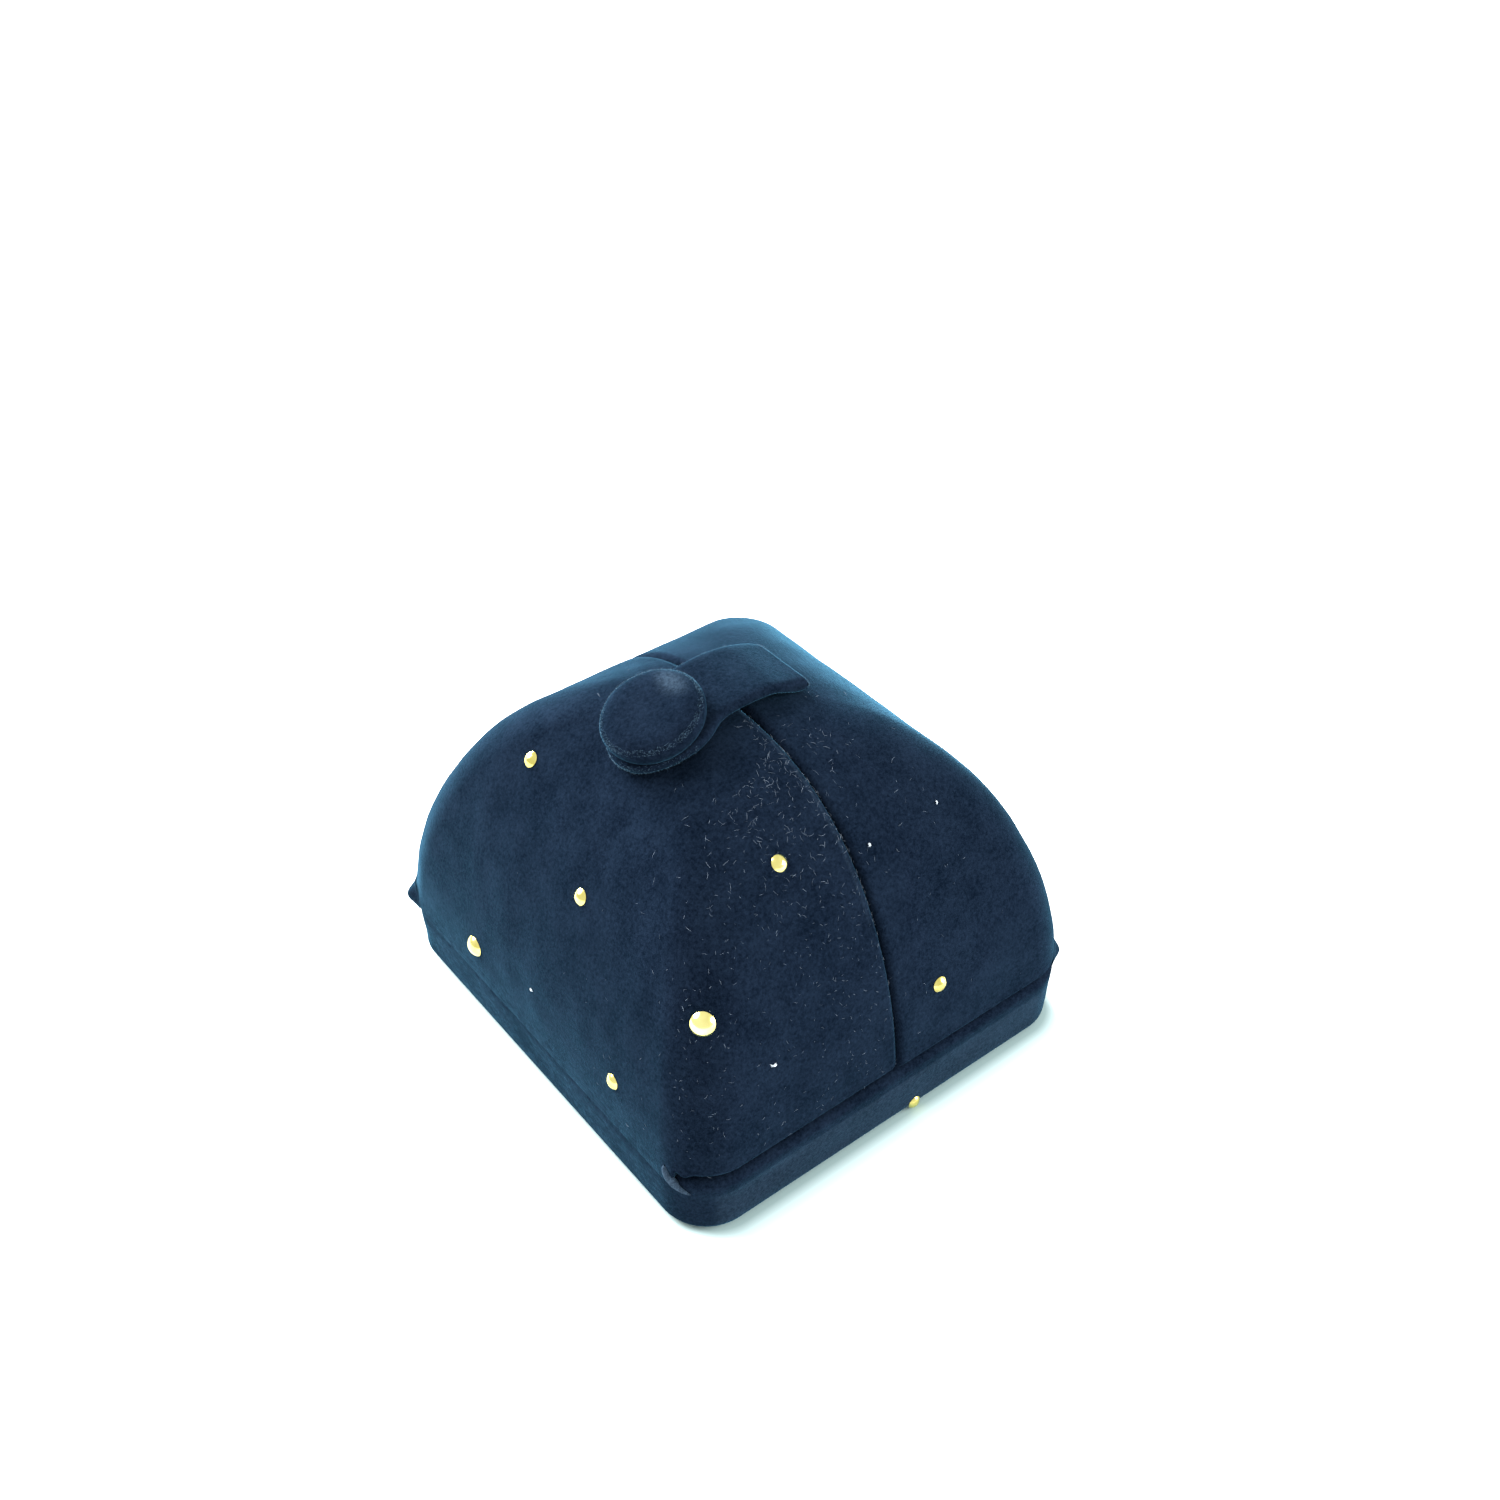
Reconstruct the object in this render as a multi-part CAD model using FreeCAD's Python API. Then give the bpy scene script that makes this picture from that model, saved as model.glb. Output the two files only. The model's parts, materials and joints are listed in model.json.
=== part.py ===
import FreeCAD, Part
import math
import os

# Covered ring box with a domed lid split into two doors.  Millimetres, +Z up.
# Origin: centre of the footprint, on the surface that the box stands on.
# The front faces -Y.  The left door hinges on the -X side, the right door on the +X side.

V = FreeCAD.Vector
UP = V(0, 0, 1)

# Driving dimensions of the covered box
HALF_WIDTH = 30.0
HALF_DEPTH = 32.5
CORNER = 6.6
RIM_Z = 9.2
APEX_Z = 45.4
BASE_TAPER = 0.4
RISE_POWER = 1.7
SHRINK_POWER = 2.7
CORNER_POWER = 0.3
LID_STEPS = 12
LAST_STEP_ANGLE = 84.0

# Layers of the walls, from the outside in
VELVET = 0.68
GLUE = 0.03
SHELL = 2.0
LINING = 0.48
FLOOR = 1.5
PANEL = 0.8
PANEL_GAP = 0.05
LID_GAP = 0.2
SEAM_GAP = 0.25
EDGE_WRAP = 0.45
PANEL_MARGIN = 0.8

# Hinges
AXIS_IN = 1.7
KNUCKLE_R = 1.0
PIN_R = 0.45
PIN_PLAY = 0.05
LEAF = 0.45
LEAF_REACH = 6.0
HINGE_LENGTH = 30.0
KNUCKLES = 5
KNUCKLE_GAP = 0.25
NOTCH_ANGLE = 46.5
NOTCH_REACH = 4.0
KNUCKLE_ROOM = 0.35
LEAF_ROOM = 0.05
RIVET_R = 0.5
RIVET_HEAD_R = 0.9
RIVET_HEAD = 0.15
RIVET_DEPTH = 1.0
RIVET_SPACING = 9.0
FIT_PLAY = 0.02
HINGE_CLOTH = 0.4

# Inside of the base
INSERT_GAP = 0.45
INSERT_TOP = 8.8
PAD_HALF_X = 20.6
PAD_OUTER_Y = 22.6
RING_SLOT = 2.0
PAD_TOP = 12.8
PAD_ROUND = 3.0
PAD_COVER = 0.6
BOARD = 0.8

# Strap, button and magnets
STRAP_PIVOT_X = 6.8
STRAP_END_X = 8.2
STRAP_HALF = 5.1
STRAP_SHIFT = 0.6
STRAP_CORNER = 2.5
STRAP_DISC_X = -9.0
STRAP_DISC_R = 6.1
STRAP_THICK = 1.5
STRAP_CORE = 0.6
STRAP_MARGIN = 0.6
STRAP_GAP = 0.4
STRAP_ARCH = 0.9
STRAP_ARCH_WIDTH = 6.0
TAIL_GAP = 0.2
BUTTON_X = -9.5
BUTTON_SEAT_X = -11.5
BUTTON_SEAT_GAP = 0.05
BUTTON_R = 6.25
BUTTON_HEIGHT = 2.7
BUTTON_COVER = 0.45
BUTTON_CAP = 0.35
MAGNET_R = 2.8
MAGNET = 1.1
SHANK_R = 1.0

# Studs: radius and height of the head, then facing in degrees about Z, height on the box
# and place along the face (unused on a corner)
SMALL_STUD = (1.0, 0.5)
LARGE_STUD = (1.4, 0.75)
BASE_STUD = (0.9, 0.45)
STUD_SHANK_R = 0.4
STUD_DEPTH = 1.35
LEFT_SMALL = [(180, 37.9, 12.3), (180, 31.0, -4.4), (180, 14.6, -16.7), (270, 38.9, -8.8)]
LEFT_SMALL += [(90, 24.0, -13.0)]
LEFT_LARGE = [(180, 12.6, 13.0), (227, 28.4, 0.0)]
RIGHT_SMALL = [(270, 18.7, 6.9), (0, 29.0, -14.0), (0, 27.0, 7.0), (90, 33.0, 10.0)]
RIGHT_LARGE = [(0, 12.6, -12.0), (47, 24.0, 0.0)]
BASE_SMALL = [(270, 1.05, 3.5), (90, 1.05, -6.0)]

# Derived values
AXIS_X = HALF_WIDTH - AXIS_IN
SHELL_OUT = VELVET + GLUE
SHELL_IN = SHELL_OUT + SHELL
LINING_OUT = SHELL_IN + GLUE
LINING_IN = LINING_OUT + LINING
SHELL_BOTTOM = PANEL + PANEL_GAP
FLOOR_TOP = SHELL_BOTTOM + FLOOR
BASE_TOP = RIM_Z - LID_GAP
DOOR_BOTTOM = RIM_Z + LID_GAP
LEAF_INNER = AXIS_X - KNUCKLE_R
LEAF_OUTER = LEAF_INNER + LEAF
BIG = 100.0

pieces = {}


def keep(name, shape):
    pieces[name] = shape


def block(x0, x1, y0, y1, z0, z1):
    return Part.makeBox(x1 - x0, y1 - y0, z1 - z0, V(x0, y0, z0))


def rounded_wire(half_x, half_y, radius, z):
    """Rounded rectangle centred on the Z axis, four sides and four corner arcs."""
    edges = []
    in_x = half_x - radius
    in_y = half_y - radius
    for quarter in range(4):
        turn = quarter * math.pi / 2
        side_x = in_x if quarter in (0, 3) else -in_x
        side_y = in_y if quarter in (0, 1) else -in_y
        points = []
        for step in range(3):
            angle = turn + step * math.pi / 4
            points.append(V(side_x + radius * math.cos(angle), side_y + radius * math.sin(angle), z))
        if edges:
            edges.append(Part.LineSegment(last, points[0]).toShape())
        else:
            first = points[0]
        edges.append(Part.Arc(*points).toShape())
        last = points[2]
    edges.append(Part.LineSegment(last, first).toShape())
    return Part.Wire(edges)


def shrink(part_of_rise):
    """Size of the lid's plan section at a part of its rise, as a part of its size at the rim."""
    return (1 - part_of_rise ** RISE_POWER) ** (1 / SHRINK_POWER)


def section(z, offset=0.0):
    """Half sizes and corner radius of the lid at a height, for a layer offset inwards."""
    size = shrink((z - RIM_Z) / (APEX_Z - offset - RIM_Z))
    radius = (CORNER - 0.9 * offset) * size ** CORNER_POWER
    return (HALF_WIDTH - offset) * size, (HALF_DEPTH - offset) * size, radius


def dome(offset):
    """Solid lid form, offset inwards from the velvet's face."""
    wires = []
    for step in range(LID_STEPS + 1):
        angle = math.radians(LAST_STEP_ANGLE * step / LID_STEPS)
        z = RIM_Z + (APEX_Z - offset - RIM_Z) * math.sin(angle)
        half_x, half_y, radius = section(z, offset)
        wires.append(rounded_wire(half_x, half_y, radius, z))
    return Part.makeLoft(wires, True, False)


def base_form(offset, z0, z1):
    """Solid base form between two heights, tapered slightly towards the bottom."""
    wires = []
    for z in (z0, z1):
        inset = offset + BASE_TAPER * (RIM_Z - z) / RIM_Z
        wires.append(rounded_wire(HALF_WIDTH - inset, HALF_DEPTH - inset, CORNER - 0.9 * inset, z))
    return Part.makeLoft(wires, True, True)


def notch(side, upward):
    """Wedge outside the hinge axis that is cut away so that a door can turn down through 90 degrees."""
    reach = NOTCH_REACH * math.tan(math.radians(NOTCH_ANGLE))
    corner_z = RIM_Z + reach if upward else RIM_Z - reach
    outer_x = side * (AXIS_X + NOTCH_REACH)
    points = [V(side * AXIS_X, -BIG, RIM_Z), V(outer_x, -BIG, RIM_Z), V(outer_x, -BIG, corner_z)]
    points.append(points[0])
    return Part.Face(Part.makePolygon(points)).extrude(V(0, 2 * BIG, 0))


def along_y(radius, x, z, y0, y1):
    return Part.makeCylinder(radius, y1 - y0, V(x, y0, z), V(0, 1, 0))


def toward_x(radius, side, x0, x1, y, z):
    """Cylinder along X on one side of the box, from distance x0 out to distance x1."""
    return Part.makeCylinder(radius, x1 - x0, V(side * x0, y, z), V(side, 0, 0))


def side_block(side, x0, x1, y0, y1, z0, z1):
    if side > 0:
        return block(x0, x1, y0, y1, z0, z1)
    return block(-x1, -x0, y0, y1, z0, z1)


def knuckle_spans(first):
    """Spans along Y of every second knuckle, starting from the first given."""
    pitch = HINGE_LENGTH / KNUCKLES
    spans = []
    for index in range(first, KNUCKLES, 2):
        start = -HINGE_LENGTH / 2 + index * pitch
        spans.append((start + KNUCKLE_GAP / 2, start + pitch - KNUCKLE_GAP / 2))
    return spans


def rivet_places(upward):
    z = RIM_Z + 0.6 * LEAF_REACH if upward else RIM_Z - 0.6 * LEAF_REACH
    return [(-RIVET_SPACING, z), (RIVET_SPACING, z)]


def hinge_leaf(side, upward):
    """Leaf and its knuckles: the base's leaf hangs down from the axis, the door's stands up."""
    direction = 1 if upward else -1
    near = RIM_Z + direction * (KNUCKLE_R + 0.1)
    far = RIM_Z + direction * LEAF_REACH
    half = HINGE_LENGTH / 2
    leaf = side_block(side, LEAF_INNER, LEAF_OUTER, -half, half, min(near, far), max(near, far))
    for y0, y1 in knuckle_spans(1 if upward else 0):
        tab_end = near + direction * 0.1
        tab = side_block(side, LEAF_INNER, LEAF_OUTER, y0, y1, min(RIM_Z, tab_end), max(RIM_Z, tab_end))
        leaf = leaf.fuse(tab).fuse(along_y(KNUCKLE_R, side * AXIS_X, RIM_Z, y0, y1))
    leaf = leaf.cut(along_y(PIN_R + PIN_PLAY, side * AXIS_X, RIM_Z, -half - 1, half + 1))
    for y, z in rivet_places(upward):
        leaf = leaf.cut(toward_x(RIVET_R + FIT_PLAY, side, LEAF_INNER - 1, LEAF_OUTER + 1, y, z))
    return leaf.removeSplitter()


def hinge_rivets(side, upward):
    rivets = []
    for y, z in rivet_places(upward):
        shank = toward_x(RIVET_R, side, LEAF_INNER, LEAF_OUTER + RIVET_DEPTH, y, z)
        head = toward_x(RIVET_HEAD_R, side, LEAF_INNER - RIVET_HEAD, LEAF_INNER, y, z)
        rivets.append(shank.fuse(head).removeSplitter())
    return Part.makeCompound(rivets)


def hinge_room(side, upward):
    """Space in a wall for the knuckles, one leaf and its rivets."""
    half = HINGE_LENGTH / 2 + KNUCKLE_ROOM
    room = along_y(KNUCKLE_R + KNUCKLE_ROOM, side * AXIS_X, RIM_Z, -half, half)
    top = RIM_Z + LEAF_REACH + 0.2 if upward else RIM_Z
    bottom = RIM_Z if upward else RIM_Z - LEAF_REACH - 0.2
    room = room.fuse(side_block(side, LEAF_INNER - 2, LEAF_OUTER + LEAF_ROOM, -half, half, bottom, top))
    for y, z in rivet_places(upward):
        hole = toward_x(RIVET_R + FIT_PLAY, side, LEAF_INNER, LEAF_OUTER + RIVET_DEPTH + FIT_PLAY, y, z)
        room = room.fuse(hole)
    return room


def hinge_pin(side):
    half = HINGE_LENGTH / 2
    return along_y(PIN_R, side * AXIS_X, RIM_Z, -half, half)


def hinge_cloth(side):
    """Strip of the cover that closes the notch and bends as the door opens."""
    half = HALF_DEPTH - CORNER - 0.3
    strip = side_block(side, HALF_WIDTH - HINGE_CLOTH, HALF_WIDTH, -half, half, RIM_Z - 5, RIM_Z + 5)
    wedge = notch(side, True).fuse(notch(side, False))
    wedge.translate(V(side * 0.03, 0, 0))
    return strip.common(wedge).removeSplitter()


def lid_place(facing, z, along):
    """Point on the lid's face and the direction that the face looks in."""
    turn = math.radians(facing)
    cos = math.cos(turn)
    sin = math.sin(turn)

    def reach(height):
        half_x, half_y, radius = section(height)
        return (half_x - radius) * abs(cos) + (half_y - radius) * abs(sin) + radius

    half_x, half_y, radius = section(z)
    x = along if abs(cos) < 0.01 else math.copysign(half_x - radius, cos) + radius * cos
    y = along if abs(sin) < 0.01 else math.copysign(half_y - radius, sin) + radius * sin
    if abs(cos) < 0.01:
        y = math.copysign(half_y, sin)
    if abs(sin) < 0.01:
        x = math.copysign(half_x, cos)
    lean = (reach(z - 0.1) - reach(z + 0.1)) / 0.2
    return V(x, y, z), V(cos, sin, lean).normalize()


def base_place(facing, z, along):
    """Point on the front or back of the base and the direction that the face looks in."""
    inset = BASE_TAPER * (RIM_Z - z) / RIM_Z
    sign = 1 if facing == 90 else -1
    look = V(0, sign, -BASE_TAPER / RIM_Z).normalize()
    return V(along, sign * (HALF_DEPTH - inset), z), look


def stud(place, look, size):
    """Domed head with a shank that goes through the velvet into the shell."""
    radius, height = size
    ball = (radius ** 2 + height ** 2) / (2 * height)
    rim_angle = math.degrees(math.asin((ball - height) / ball))
    head = Part.makeSphere(ball, place + look * (height - ball + FIT_PLAY), look, rim_angle, 90, 360)
    shank = Part.makeCylinder(STUD_SHANK_R, STUD_DEPTH + FIT_PLAY, place - look * STUD_DEPTH, look)
    return head.fuse(shank)


def stud_hole(place, look):
    depth = STUD_DEPTH + FIT_PLAY
    return Part.makeCylinder(STUD_SHANK_R + FIT_PLAY, depth + 2, place - look * depth, look)


def studs(places, size, finder):
    return Part.makeCompound([stud(*finder(*item), size) for item in places])


def cut_for_studs(shape, places, finder):
    for item in places:
        place, look = finder(*item)
        shape = shape.cut(stud_hole(place, look))
    return shape


def profile_z(x):
    """Height of the lid's face in the middle plane."""
    size = min(abs(x) / HALF_WIDTH, 1.0)
    return RIM_Z + (APEX_Z - RIM_Z) * (1 - size ** SHRINK_POWER) ** (1 / RISE_POWER)


def above_lid(x, offset):
    """Point at a distance above the lid's face in the middle plane, and the way the face looks."""
    step = 0.01
    slope = (profile_z(x + step) - profile_z(x - step)) / (2 * step)
    look = V(-slope, 0, 1).normalize()
    return V(x, 0, profile_z(x)) + look * offset, look


def strap_lift(x):
    """Clearance under the strap, which arches a little over the seam between the doors."""
    return STRAP_GAP + STRAP_ARCH * math.exp(-(x / STRAP_ARCH_WIDTH) ** 2)


def strap_curve(x0, x1, offset, lift):
    count = 9
    points = []
    for index in range(count):
        x = x0 + (x1 - x0) * index / (count - 1)
        points.append(above_lid(x, offset + lift(x))[0])
    curve = Part.BSplineCurve()
    curve.interpolate(points)
    return curve.toShape()


def strap_layer(x0, x1, low, high, margin, lift=strap_lift):
    """Layer of the strap between two offsets above the lid, trimmed to the strap's outline."""
    lower = strap_curve(x0, x1, low, lift)
    upper = strap_curve(x0, x1, high, lift)
    right_end = Part.LineSegment(lower.Vertexes[-1].Point, upper.Vertexes[-1].Point).toShape()
    left_end = Part.LineSegment(upper.Vertexes[0].Point, lower.Vertexes[0].Point).toShape()
    face = Part.Face(Part.Wire([lower, right_end, upper, left_end]))
    face.translate(V(0, -BIG / 2, 0))
    return face.extrude(V(0, BIG, 0)).common(strap_outline(margin))


def strap_outline(margin):
    """Plan of the strap: a bar set slightly back, with one rounded corner, and a disc for the button."""
    front = STRAP_SHIFT - STRAP_HALF + margin
    rear = STRAP_SHIFT + STRAP_HALF - margin
    end = STRAP_END_X - margin
    bar = block(STRAP_DISC_X, end, front, rear, 0, BIG)
    corner = []
    for edge in bar.Edges:
        middle = edge.CenterOfMass
        if middle.x > end - 0.01 and middle.y > rear - 0.01:
            corner.append(edge)
    bar = bar.makeFillet(STRAP_CORNER - margin, corner)
    disc = Part.makeCylinder(STRAP_DISC_R - margin, BIG, V(STRAP_DISC_X, 0, 0))
    return bar.fuse(disc).removeSplitter()


def cap_form(radius, height, edge):
    """Low round form with a rounded upper edge, standing on z = 0."""
    points = [V(0, 0, 0), V(radius, 0, 0), V(radius, 0, height - edge)]
    middle = V(radius - edge * (1 - math.sqrt(0.5)), 0, height - edge * (1 - math.sqrt(0.5)))
    edges = [Part.LineSegment(points[0], points[1]).toShape(), Part.LineSegment(points[1], points[2]).toShape()]
    top = V(radius - edge, 0, height)
    edges.append(Part.Arc(points[2], middle, top).toShape())
    edges.append(Part.LineSegment(top, V(0, 0, height)).toShape())
    edges.append(Part.LineSegment(V(0, 0, height), points[0]).toShape())
    return Part.Face(Part.Wire(edges)).revolve(V(0, 0, 0), UP, 360)


def placed(shape, place, look):
    shape = shape.copy()
    shape.Placement = FreeCAD.Placement(place, FreeCAD.Rotation(UP, look))
    return shape


def in_door(shape, offset):
    """Set a piece into the left door under the button, a distance above the lid's face."""
    return placed(shape, *above_lid(BUTTON_X, offset))


def on_strap(shape, offset):
    """Stand a piece on the strap, in a plane that touches it below the button's centre."""
    seat, look = above_lid(BUTTON_SEAT_X, offset + strap_lift(BUTTON_SEAT_X))
    slide = (BUTTON_X - BUTTON_SEAT_X) / look.z
    return placed(shape, seat + V(look.z, 0, -look.x) * slide, look)


def cushion(half_x, y0, y1, z0, z1, edge):
    """Pad with upright sides and a rounded top edge."""
    wires = []
    middle = (y0 + y1) / 2
    half_y = (y1 - y0) / 2
    levels = [(z0, 0.0)]
    for step in range(4):
        angle = math.radians(80.0 * step / 3)
        levels.append((z1 - edge + edge * math.sin(angle), edge * (1 - math.cos(angle))))
    for z, inset in levels:
        wire = rounded_wire(half_x - inset, half_y - inset, edge + 0.5 - inset / 2, z)
        wire.translate(V(0, middle, 0))
        wires.append(wire)
    return Part.makeLoft(wires, True, True)


def make_base():
    inner = base_form(SHELL_IN, FLOOR_TOP, BASE_TOP + 1)
    shell = base_form(SHELL_OUT, SHELL_BOTTOM, BASE_TOP - EDGE_WRAP).cut(inner)
    velvet = base_form(0.0, 0.3, BASE_TOP).cut(base_form(VELVET, 0.0, BASE_TOP + 1))
    for side in (-1, 1):
        shell = shell.cut(hinge_room(side, False)).cut(notch(side, False))
        velvet = velvet.cut(notch(side, False)).cut(hinge_room(side, False))
    keep("base_shell", cut_for_studs(shell, BASE_SMALL, base_place))
    keep("base_velvet", cut_for_studs(velvet, BASE_SMALL, base_place))
    keep("base_studs", studs(BASE_SMALL, BASE_STUD, base_place))
    keep("bottom_panel", base_form(VELVET + PANEL_MARGIN, 0.0, PANEL))


def make_insert():
    margin = SHELL_IN + INSERT_GAP
    low = FLOOR_TOP + GLUE
    frame = base_form(margin, low, INSERT_TOP)
    window = rounded_wire(PAD_HALF_X + 0.3, PAD_OUTER_Y + 0.3, PAD_ROUND + 0.6, low - 1)
    frame = frame.cut(Part.Face(window).extrude(V(0, 0, BIG)))
    keep("insert_frame", frame)
    board = rounded_wire(PAD_HALF_X, PAD_OUTER_Y, PAD_ROUND, low)
    keep("pad_board", Part.Face(board).extrude(V(0, 0, BOARD)))
    pad_low = low + BOARD + GLUE
    for name, sign in (("front", -1), ("back", 1)):
        ends = sorted((sign * RING_SLOT / 2, sign * PAD_OUTER_Y))
        cover = cushion(PAD_HALF_X, ends[0], ends[1], pad_low, PAD_TOP, PAD_ROUND)
        in_ends = (ends[0] + PAD_COVER, ends[1] - PAD_COVER)
        inner_edge = PAD_ROUND - PAD_COVER
        top = PAD_TOP - PAD_COVER
        hollow = cushion(PAD_HALF_X - PAD_COVER, in_ends[0], in_ends[1], pad_low, top, inner_edge)
        play = PAD_COVER + GLUE
        core_ends = (ends[0] + play, ends[1] - play)
        core = cushion(PAD_HALF_X - play, core_ends[0], core_ends[1], pad_low, PAD_TOP - play, inner_edge)
        keep("ring_pad_foam_" + name, core)
        keep("ring_pad_cover_" + name, cover.cut(hollow))


def make_hinges():
    for name, side in (("left", -1), ("right", 1)):
        keep(name + "_hinge_base_leaf", hinge_leaf(side, False))
        keep(name + "_hinge_door_leaf", hinge_leaf(side, True))
        keep(name + "_hinge_base_rivets", hinge_rivets(side, False))
        keep(name + "_hinge_door_rivets", hinge_rivets(side, True))
        keep(name + "_hinge_pin", hinge_pin(side))
        keep(name + "_hinge_cloth", hinge_cloth(side))


def make_doors():
    layers = [("velvet", dome(0.0).cut(dome(VELVET)), 0.0)]
    layers.append(("shell", dome(SHELL_OUT).cut(dome(SHELL_IN)), EDGE_WRAP))
    layers.append(("lining", dome(LINING_OUT).cut(dome(LINING_IN)), EDGE_WRAP))
    doors = [("left", -1, LEFT_SMALL, LEFT_LARGE), ("right", 1, RIGHT_SMALL, RIGHT_LARGE)]
    for name, side, small, large in doors:
        room = hinge_room(side, True)
        wedge = notch(side, True)
        for layer, solid, back in layers:
            half = side_block(side, SEAM_GAP + back, BIG, -BIG, BIG, DOOR_BOTTOM + back, BIG)
            door = solid.common(half)
            if layer != "lining":
                door = door.cut(wedge).cut(room)
                door = cut_for_studs(door, small + large, lid_place)
            if name == "left" and layer == "shell":
                door = door.cut(in_door(magnet_disc(FIT_PLAY, MAGNET + 1), -magnet_depth() - FIT_PLAY))
            keep(name + "_door_" + layer, door)
        keep(name + "_door_small_studs", studs(small, SMALL_STUD, lid_place))
        keep(name + "_door_large_studs", studs(large, LARGE_STUD, lid_place))
    keep("door_magnet", in_door(magnet_disc(0.0, MAGNET), -magnet_depth()))


def magnet_disc(play, height):
    return Part.makeCylinder(MAGNET_R + play, height)


def magnet_depth():
    """Depth of the door magnet's lower face, below the lid's face."""
    return SHELL_OUT + 0.3 + MAGNET


def seated(x):
    """No clearance: the sewn end lies on the door."""
    return 0.0


def make_strap():
    tip = STRAP_DISC_X - STRAP_DISC_R - 1
    end = STRAP_PIVOT_X - 0.05
    outer = strap_layer(tip, end, 0.0, STRAP_THICK, 0.0)
    low = (STRAP_THICK - STRAP_CORE) / 2
    high = low + STRAP_CORE
    hollow = strap_layer(tip, end - STRAP_MARGIN, low, high, STRAP_MARGIN)
    core = strap_layer(tip, end - STRAP_MARGIN - GLUE, low + GLUE, high - GLUE, STRAP_MARGIN + GLUE)
    hole = on_strap(Part.makeCylinder(SHANK_R + FIT_PLAY, 2), STRAP_THICK * 0.4)
    keep("strap_velvet", outer.cut(hollow).cut(hole))
    keep("strap_core", core.cut(hole))
    top_offset = strap_lift(STRAP_PIVOT_X) + STRAP_THICK
    tail = strap_layer(STRAP_PIVOT_X + 0.2, STRAP_END_X, GLUE, top_offset - TAIL_GAP, 0.0, seated)
    keep("strap_tail", tail)
    pivot = above_lid(STRAP_PIVOT_X, top_offset)[0]
    print("strap pivot", round(pivot.x, 4), round(pivot.z, 4))


def make_button():
    edge = BUTTON_HEIGHT / 2
    inner = BUTTON_R - BUTTON_COVER
    cap_r = inner - GLUE
    cap_height = BUTTON_HEIGHT - BUTTON_COVER
    cap_edge = edge - BUTTON_COVER
    cover = cap_form(BUTTON_R, BUTTON_HEIGHT, edge).cut(cap_form(inner, cap_height, cap_edge))
    cap = cap_form(cap_r, cap_height - GLUE, cap_edge)
    room = cap_form(cap_r - BUTTON_CAP, cap_height - GLUE - BUTTON_CAP, cap_edge - BUTTON_CAP)
    back = Part.makeCylinder(cap_r - GLUE - BUTTON_CAP, BUTTON_CAP)
    back = back.fuse(Part.makeCylinder(SHANK_R, STRAP_THICK / 2, V(0, 0, 0), -UP))
    magnet = Part.makeCylinder(MAGNET_R, MAGNET, V(0, 0, BUTTON_CAP + GLUE))
    seat = STRAP_THICK + BUTTON_SEAT_GAP
    keep("button_cover", on_strap(cover, seat))
    keep("button_cap", on_strap(cap.cut(room), seat))
    keep("button_back", on_strap(back.removeSplitter(), seat))
    keep("button_magnet", on_strap(magnet, seat))


make_base()
make_insert()
make_hinges()
make_doors()
make_strap()
make_button()

os.makedirs("parts", exist_ok=True)
for node, shape in pieces.items():
    shape.exportStep("parts/" + node + ".step")
    count = len(shape.Solids)
    print(node, "solids", count, "valid", shape.isValid(), "volume", round(shape.Volume, 1))
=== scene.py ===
import json
import math

import bmesh
import bpy
import numpy as np
from mathutils import Matrix, Vector


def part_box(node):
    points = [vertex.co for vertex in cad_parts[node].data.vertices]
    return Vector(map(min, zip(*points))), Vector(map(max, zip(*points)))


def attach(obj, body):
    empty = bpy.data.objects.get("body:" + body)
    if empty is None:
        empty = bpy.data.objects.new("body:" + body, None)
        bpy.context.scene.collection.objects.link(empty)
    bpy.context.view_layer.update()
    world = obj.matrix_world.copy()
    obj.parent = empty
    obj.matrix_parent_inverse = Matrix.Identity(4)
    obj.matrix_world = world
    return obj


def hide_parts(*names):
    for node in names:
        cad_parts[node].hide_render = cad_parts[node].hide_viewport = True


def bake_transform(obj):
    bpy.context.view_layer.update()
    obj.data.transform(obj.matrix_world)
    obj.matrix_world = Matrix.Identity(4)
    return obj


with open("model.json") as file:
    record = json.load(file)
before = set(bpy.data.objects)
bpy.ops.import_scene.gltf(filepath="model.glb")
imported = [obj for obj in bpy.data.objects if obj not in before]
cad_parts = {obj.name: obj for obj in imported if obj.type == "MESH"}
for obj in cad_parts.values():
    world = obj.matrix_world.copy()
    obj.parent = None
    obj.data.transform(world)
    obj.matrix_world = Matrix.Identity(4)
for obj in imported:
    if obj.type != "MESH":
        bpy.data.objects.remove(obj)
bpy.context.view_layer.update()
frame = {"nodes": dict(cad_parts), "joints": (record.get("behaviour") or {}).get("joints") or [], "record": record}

MM = 0.001

# Sizes read from the frame, in millimetres
BASE_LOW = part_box("base_velvet")[0] / MM
LID_LOW, LID_HIGH = (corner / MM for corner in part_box("left_door_velvet"))
INSERT_LOW, INSERT_HIGH = (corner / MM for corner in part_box("insert_frame"))
JOINTS = {joint["name"]: joint for joint in frame["joints"]}
AXIS_X = JOINTS["right_door_hinge"]["pos_m"][0] / MM
RIM_Z = JOINTS["right_door_hinge"]["pos_m"][2] / MM
PIVOT_X = JOINTS["strap_lift"]["pos_m"][0] / MM
HALF_WIDTH = -LID_LOW.x
HALF_DEPTH = LID_HIGH.y
APEX_Z = LID_HIGH.z + 0.2

# Form of the lid, as in the design
CORNER = 6.6
RISE_POWER = 1.7
SHRINK_POWER = 2.7
CORNER_POWER = 0.3
BASE_TAPER = 0.4

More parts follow.
